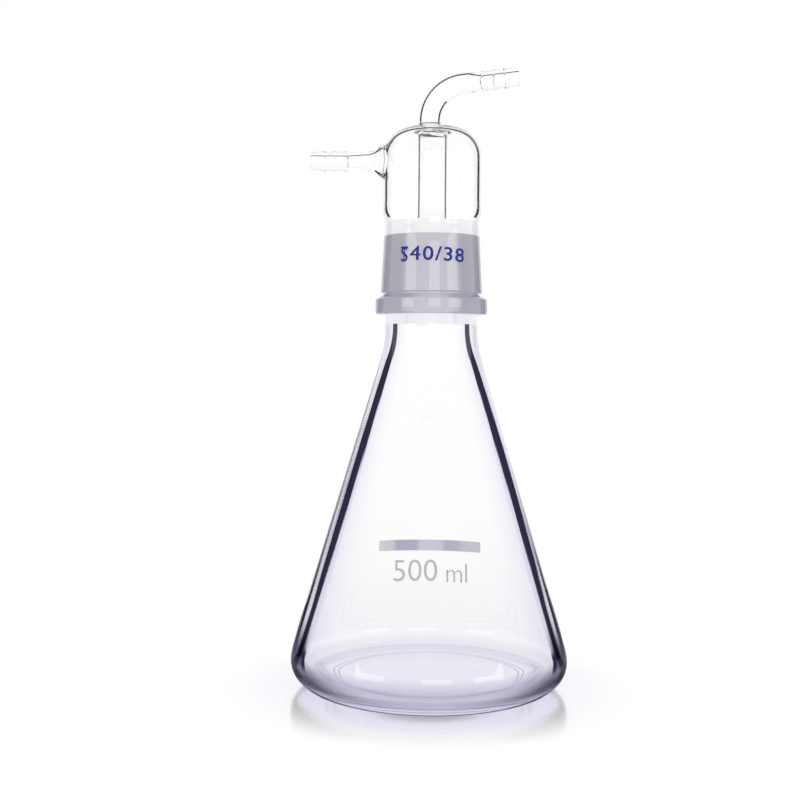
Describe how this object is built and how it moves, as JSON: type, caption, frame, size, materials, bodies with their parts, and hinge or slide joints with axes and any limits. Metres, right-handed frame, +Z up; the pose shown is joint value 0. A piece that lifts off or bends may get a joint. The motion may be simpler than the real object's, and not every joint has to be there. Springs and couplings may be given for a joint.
{
  "type": "vacuum buffer bottle",
  "caption": "Heavy-wall conical glass bottle with a ground-joint head that carries a side hose connection, a bent top hose connection and a central dip tube.",
  "frame": {"origin": "centre of the flask's base, on the surface it stands on", "axes": "+Z up the bottle's axis, +X towards the filter's hose connection, -X towards the vacuum pump's, and the print on the flask faces -Y"},
  "size_m": [0.12, 0.12, 0.2693],
  "materials": {
    "flask_glass": "clear heavy-wall borosilicate glass with a ground cone on the neck",
    "head_glass": "clear borosilicate glass with a ground socket"
  },
  "bodies": {
    "flask": {"flask": "flask_glass"},
    "head": {"head": "head_glass"}
  },
  "joints": [
    {"name": "head_turn", "type": "hinge", "parent": "flask", "child": "head", "pos_m": [0, 0, 0.176], "axis": [0, 0, 1], "continuous": true}
  ]
}
